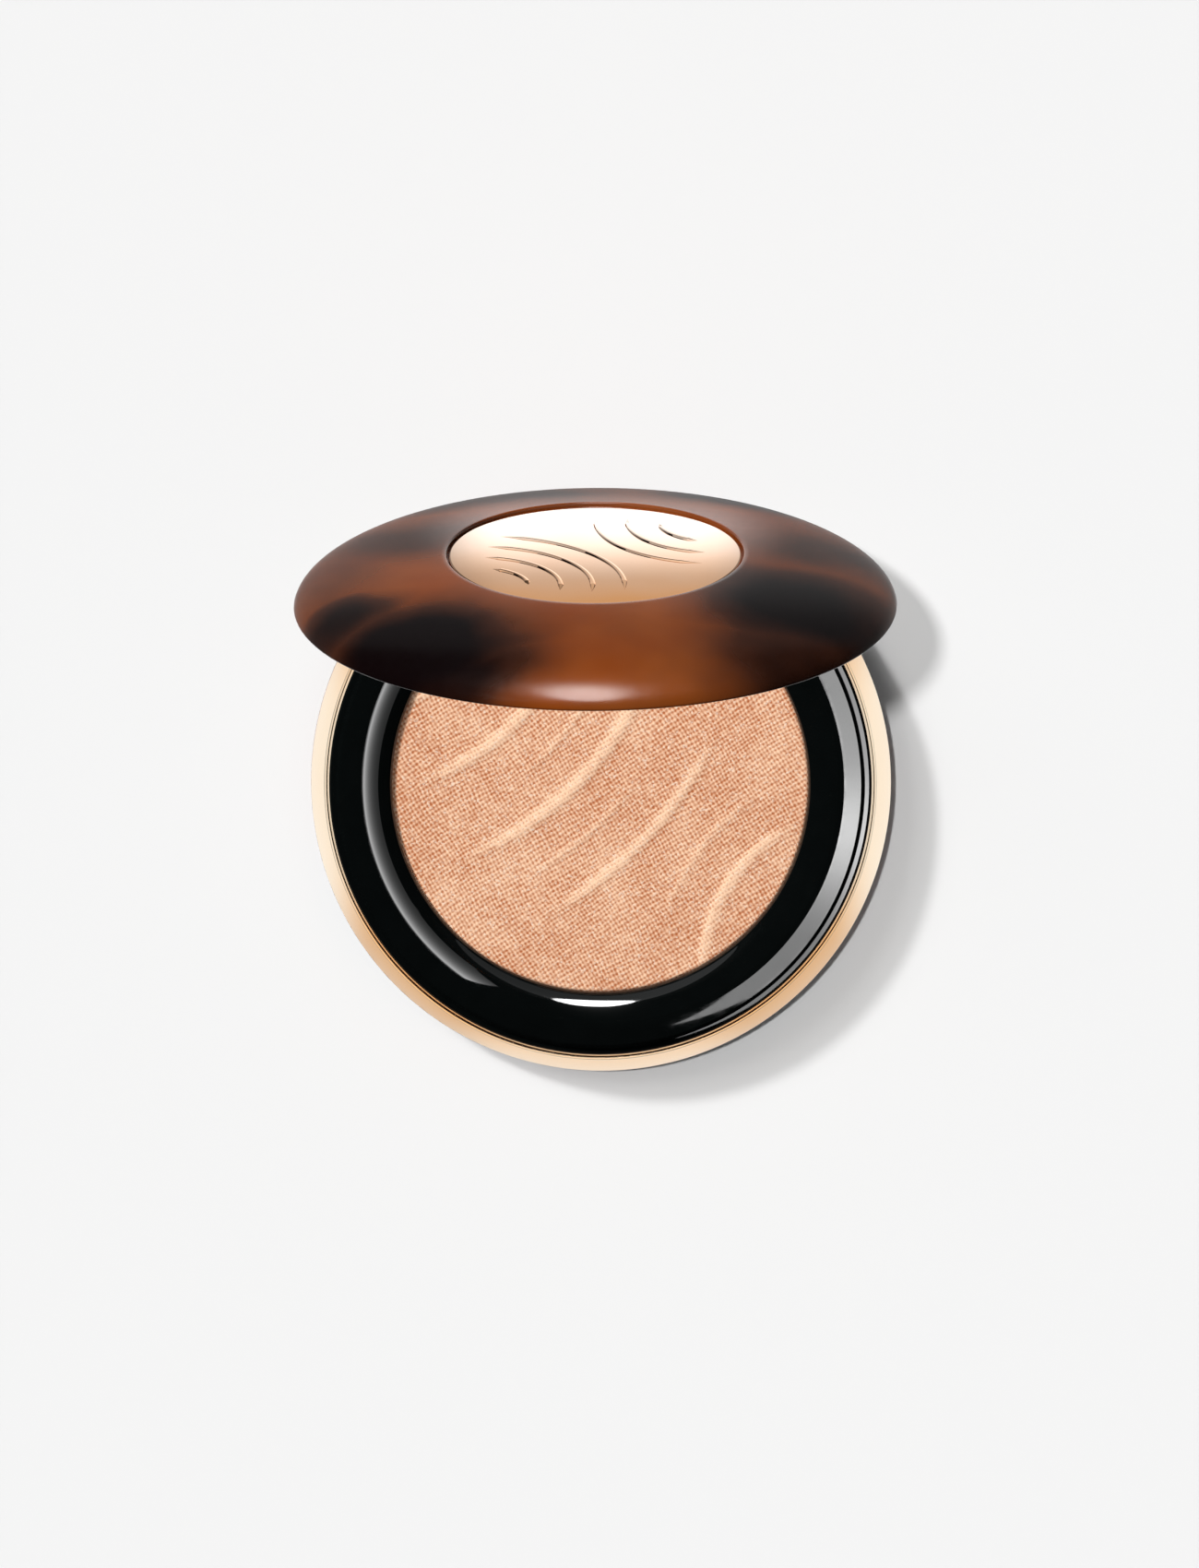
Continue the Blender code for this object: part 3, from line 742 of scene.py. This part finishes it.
def build_floor():
    bm = bmesh.new()
    bmesh.ops.create_grid(bm, x_segments=1, y_segments=1, size=FLOOR_HALF)
    floor = add_object("floor", finish_mesh(bm, "floor"))
    floor.location.z = -FLOOR_DROP
    floor.visible_glossy = False
    g = Graph("pale_floor")
    g.set(Base_Color=(FLOOR_ALBEDO, FLOOR_ALBEDO, FLOOR_ALBEDO, 1.0))
    g.set(Roughness=0.9)
    g.shader.inputs["Specular IOR Level"].default_value = 0.0
    floor.data.materials.append(g.material)
    return floor


def smooth_step(value, low, high):
    t = min(1.0, max(0.0, (value - low) / (high - low)))
    return t * t * (3.0 - 2.0 * t)


def linked(name, objects):
    """A collection of objects, for a light to be limited to."""
    group = bpy.data.collections.new(name)
    for obj in objects:
        group.objects.link(obj)
    return group


def glow_card(name, spot, glow, receivers=None, columns=48, rows=48):
    """A soft light panel that only shows in reflections, and only in its receivers if it has any.

    spot(u, v) is a point of the panel and glow(x, y, z) the brightness there. Panels are clear, so
    one that a piece doesn't see hides nothing behind it.
    """
    bm = bmesh.new()
    grid = []
    for i in range(columns + 1):
        grid.append([bm.verts.new(spot(i / columns, k / rows)) for k in range(rows + 1)])
    for one, two in zip(grid, grid[1:]):
        for k in range(rows):
            bm.faces.new((one[k], two[k], two[k + 1], one[k + 1]))
    mesh = bpy.data.meshes.new(name)
    bm.to_mesh(mesh)
    bm.free()
    layer = mesh.attributes.new("glow", "FLOAT", "POINT")
    layer.data.foreach_set("value", [glow(*v.co) for v in mesh.vertices])
    material = bpy.data.materials.new(name)
    material.use_nodes = True
    tree = material.node_tree
    tree.nodes.clear()
    source = tree.nodes.new("ShaderNodeAttribute")
    source.attribute_name = "glow"
    light = tree.nodes.new("ShaderNodeEmission")
    clear = tree.nodes.new("ShaderNodeBsdfTransparent")
    both = tree.nodes.new("ShaderNodeAddShader")
    output = tree.nodes.new("ShaderNodeOutputMaterial")
    tree.links.new(source.outputs["Fac"], light.inputs["Strength"])
    tree.links.new(light.outputs["Emission"], both.inputs[0])
    tree.links.new(clear.outputs["BSDF"], both.inputs[1])
    tree.links.new(both.outputs["Shader"], output.inputs["Surface"])
    mesh.materials.append(material)
    card = add_object(name, mesh)
    card.visible_camera = False
    card.visible_diffuse = False
    card.visible_shadow = False
    if receivers is not None:
        card.light_linking.receiver_collection = receivers


# Where the middle of the ring's reflections falls on a card above the compact
MIRROR_SPOT = (-0.0175, -0.0698)
CARD_HEIGHT = 1.0
# How bright a card is for black gloss to mirror it as white
BLACK_GLOSS_GAIN = 24.0
# The arc-shaped strip: radius, half width, first angle, angle covered and the length of its tip
STRIP_R = 0.2640
STRIP_HALF = 0.0134
STRIP_FIRST_DEG = -74.0
STRIP_TURN_DEG = 130.0
STRIP_TIP_DEG = 19.0
# The inner edge of the side panel's glow
SIDE_EDGE = 0.395
BACK_PANEL_Y = 0.60
SHEEN_HALF = (0.35, 0.30)
ROOM_R = 1.7


def build_cards(ring_only, dome_only, others):
    cx, cy = MIRROR_SPOT

    def strip_spot(u, v):
        turn = STRIP_FIRST_DEG + STRIP_TURN_DEG * u
        narrow = min(1.0, (turn - STRIP_FIRST_DEG) / STRIP_TIP_DEG) ** 1.2
        radius = STRIP_R + STRIP_HALF * (2.0 * v - 1.0) * narrow
        a = math.radians(turn)
        return (cx + radius * math.cos(a), cy + radius * math.sin(a), CARD_HEIGHT)

    def strip_glow(x, y, _z):
        turn = math.degrees(math.atan2(y - cy, x - cx))
        edge = abs(math.hypot(x - cx, y - cy) - STRIP_R) / STRIP_HALF
        level = 0.19 + 0.44 * math.exp(-((turn + 10.0) / 15.0) ** 2)
        level += 0.10 * smooth_step(turn, 0.0, 15.0)
        return BLACK_GLOSS_GAIN * level * (1.0 + 0.4 * smooth_step(edge, 0.80, 0.92))

    def side_spot(u, v):
        return (cx + 0.22 + 0.42 * u, cy - 0.42 + 0.85 * v, CARD_HEIGHT + 0.004)

    def side_glow(x, y, _z):
        away = math.hypot(x - cx, y - cy)
        fall = 0.015 + 0.36 * math.exp(-(max(away, SIDE_EDGE) - SIDE_EDGE) / 0.035)
        return BLACK_GLOSS_GAIN * fall * smooth_step(away, 0.375, 0.390)

    def front_spot(u, v):
        return (cx - 0.12 + 0.24 * u, cy + 0.40 + 0.18 * v, CARD_HEIGHT)

    def front_glow(x, y, _z):
        level = 0.12 * math.exp((y - cy - 0.58) / 0.03) * math.exp(-((x - cx) / 0.07) ** 2)
        return BLACK_GLOSS_GAIN * level

    def back_spot(u, v):
        return (-0.20 + 0.36 * u, BACK_PANEL_Y, 0.14 + 1.10 * v)

    def back_glow(x, _y, z):
        away = math.hypot((x + 0.03) / 0.155, (z - 0.62) / 0.50)
        return 11.5 * (1.0 - smooth_step(away, 0.62, 1.0))

    def floor_spot(u, v):
        return (SHEEN_HALF[0] * (2.0 * u - 1.0), SHEEN_HALF[1] * (2.0 * v - 1.0), -FLOOR_DROP / 2.0)

    def floor_glow(x, y, _z):
        away = max(math.hypot(x, y), 1e-6)
        band = 0.78 + 0.24 * smooth_step(abs(x) / away, 0.80, 0.97)
        band += 0.17 * smooth_step(-y / away, 0.85, 0.97)
        band *= 0.25 + 0.75 * smooth_step(away, 0.0404, 0.0420)
        rest = 0.09 + 0.20 * (1.0 - smooth_step(away, 0.070, 0.130))
        near = (1.0 - smooth_step(away, 0.054, 0.068)) * smooth_step(-y, -0.045, -0.025)
        level = rest + (band - rest) * near
        across = 1.0 - smooth_step(abs(x), 0.014, 0.032)
        along = 1.50 - 0.84 * smooth_step(y, 0.0630, 0.0800)
        behind = smooth_step(y, 0.046, 0.060) * (1.0 - smooth_step(y, 0.09, 0.12))
        level += (along - rest) * across * behind
        return level * (1.0 - smooth_step(math.hypot(x, y - 0.04), 0.16, 0.26))

    def room_spot(u, v):
        turn, rise = math.tau * u, math.radians(1.5 + 88.0 * v)
        flat = ROOM_R * math.cos(rise)
        return (flat * math.cos(turn), flat * math.sin(turn), ROOM_R * math.sin(rise))

    def room_glow(x, y, z):
        rise, turn = math.degrees(math.atan2(z, math.hypot(x, y))), math.atan2(y, x)
        return 0.50 + 0.42 * smooth_step(rise, 8.0, 50.0) + 0.14 * math.cos(3.0 * turn)

    # ring_only and dome_only hold one piece each; others holds all that the room shows in
    glow_card("ring_strip", strip_spot, strip_glow, ring_only, 96, 24)
    glow_card("side_panel", side_spot, side_glow, ring_only, 160, 120)
    glow_card("front_halo", front_spot, front_glow, ring_only)
    glow_card("back_panel", back_spot, back_glow, dome_only)
    glow_card("floor_sheen", floor_spot, floor_glow, None, 280, 240)
    glow_card("room", room_spot, room_glow, others, 72, 24)


def add_sun(name, toward, strength, spread_deg, casters=None, receivers=None):
    """Soft daylight lamp. Without casters nothing throws a shadow from it."""
    light = bpy.data.lights.new(name, "SUN")
    light.energy = strength
    light.angle = math.radians(spread_deg)
    light.use_shadow = casters is not None
    obj = bpy.data.objects.new(name, light)
    bpy.context.scene.collection.objects.link(obj)
    obj.rotation_euler = Vector(toward).to_track_quat("-Z", "Y").to_euler()
    obj.visible_glossy = False
    if casters is not None:
        obj.light_linking.blocker_collection = casters
    if receivers is not None:
        obj.light_linking.receiver_collection = receivers


def build_lights(floor, ring_only):
    world = bpy.data.worlds.new("studio")
    bpy.context.scene.world = world
    world.use_nodes = True
    back = world.node_tree.nodes["Background"]
    back.inputs["Color"].default_value = (1.0, 1.0, 1.0, 1.0)
    back.inputs["Strength"].default_value = 0.06
    world.cycles_visibility.glossy = False
    everything = linked("both_casters", [*CASTERS["base"].objects, *CASTERS["lid"].objects])
    floor_only = linked("floor_only", [floor])
    add_sun("key", (0.86, -0.68, -1.0), 2.25, 6.0, casters=CASTERS["base"])
    add_sun("wide_key", (0.74, -0.56, -1.0), 1.45, 24.0, casters=CASTERS["base"])
    add_sun("lid_key", (0.150, -0.125, -1.0), 2.50, 3.0, casters=everything, receivers=floor_only)
    add_sun("fill", (0.10, -0.35, -1.0), 0.55, 20.0)
    spot = bpy.data.lights.new("glint", "AREA")
    spot.shape = "ELLIPSE"
    spot.size, spot.size_y = 0.0061, 0.0132
    spot.energy = 0.0072
    glint = bpy.data.objects.new("glint", spot)
    bpy.context.scene.collection.objects.link(glint)
    tilt, reach, front = math.radians(40.0), 0.066, Vector((-0.0007, -0.0302, PARTING + 0.0005))
    toward = Vector((0.0, math.sin(tilt), math.cos(tilt)))
    glint.location = front + toward * reach
    glint.rotation_euler = (-toward).to_track_quat("-Z", "Y").to_euler()
    glint.visible_camera = False
    glint.visible_diffuse = False
    glint.light_linking.receiver_collection = ring_only


def build_camera():
    camera = bpy.data.cameras.new("camera")
    camera.lens = 166.447
    camera.sensor_width = 36.0
    camera.clip_start = 0.01
    obj = bpy.data.objects.new("camera", camera)
    bpy.context.scene.collection.objects.link(obj)
    lean_back, lean_right, distance = math.radians(4.0), math.radians(1.0), 1.0
    back = Vector((math.sin(lean_right), math.sin(lean_back) * math.cos(lean_right),
                   math.cos(lean_back) * math.cos(lean_right)))
    aim = Vector((-0.00009, 0.00013, PARTING))
    right = (-back).cross(Vector((0.0, 1.0, 0.0))).normalized()
    up = right.cross(-back)
    turn = Matrix((right, up, back)).transposed().to_4x4()
    obj.matrix_world = Matrix.Translation(aim + back * distance) @ turn
    bpy.context.scene.camera = obj


def repaint_hidden_parts():
    """Materials of the CAD pieces that stay as they are, inside the case."""
    looks = {
        "pan_aluminium": plain_material("pan_metal", (0.80, 0.80, 0.81), 0.3, 1.0),
        "adhesive_tape": plain_material("tape", (0.72, 0.72, 0.68), 0.8),
        "inner_plastic": plain_material("moulded_black", (0.03, 0.03, 0.03), 0.5),
        "steel": plain_material("plate_steel", (0.55, 0.55, 0.56), 0.35, 1.0),
        "magnet_nickel": plain_material("nickel", (0.62, 0.61, 0.60), 0.25, 1.0),
    }
    for row in frame["record"]["subparts"]:
        look = looks.get(row["material_slot"])
        if look:
            mesh = frame["nodes"][row["node"]].data
            mesh.materials.clear()
            mesh.materials.append(look)


# Dark clouds of the lid and the base: x, y, half width, half depth, weight
LID_CLOUDS = (
    (-0.0225, -0.0275, 0.0160, 0.0110, 1.0),
    (-0.0330, -0.0170, 0.0085, 0.0080, 0.9),
    (-0.0180, -0.0335, 0.0130, 0.0075, 0.85),
    (0.0275, -0.0145, 0.0140, 0.0130, 0.95),
    (0.0270, -0.0285, 0.0130, 0.0100, 0.60),
    (0.0290, 0.0060, 0.0125, 0.0110, 0.62),
    (-0.0260, 0.0080, 0.0125, 0.0105, 0.62),
    (-0.0350, -0.0030, 0.0100, 0.0130, 0.42),
    (-0.0130, 0.0270, 0.0150, 0.0085, 0.6),
    (0.0200, 0.0290, 0.0120, 0.0070, 0.7),
)
BASE_CLOUDS = (
    (0.030, 0.018, 0.0140, 0.0120, 1.0),
    (-0.030, -0.020, 0.0150, 0.0130, 1.0),
    (-0.026, 0.026, 0.0120, 0.0100, 0.9),
    (0.020, -0.032, 0.0160, 0.0090, 0.9),
)


def main():
    bpy.context.scene.view_settings.view_transform = "Standard"
    black = black_gloss_material()
    build_base_shell(tortoise_material("base_tortoise", BASE_CLOUDS))
    build_band(band_material())
    build_ring(black)
    build_powder(powder_material())
    build_label(plain_material("coated_paper", (0.80, 0.78, 0.75), 0.55, grain=1500.0))
    build_hinge_parts(plain_material("pin_steel", (0.60, 0.60, 0.61), 0.25, 1.0),
                      plain_material("nylon", (0.02, 0.02, 0.02), 0.5))
    build_lid_dome(tortoise_material("lid_tortoise", LID_CLOUDS, on_lid=True))
    build_liner(black)
    build_mirror(mirror_material())
    build_medallion(medallion_material())
    repaint_hidden_parts()
    floor = build_floor()
    ring, dome = bpy.data.objects["gloss_ring"], bpy.data.objects["lid_dome"]
    roomless = [ring, dome, bpy.data.objects["powder_cake"]]
    others = [o for group in CASTERS.values() for o in group.objects if o not in roomless]
    others += frame["nodes"].values()
    ring_only = linked("ring_only", [ring])
    build_cards(ring_only, linked("dome_only", [dome]), linked("others", others))
    build_lights(floor, ring_only)
    build_camera()


main()
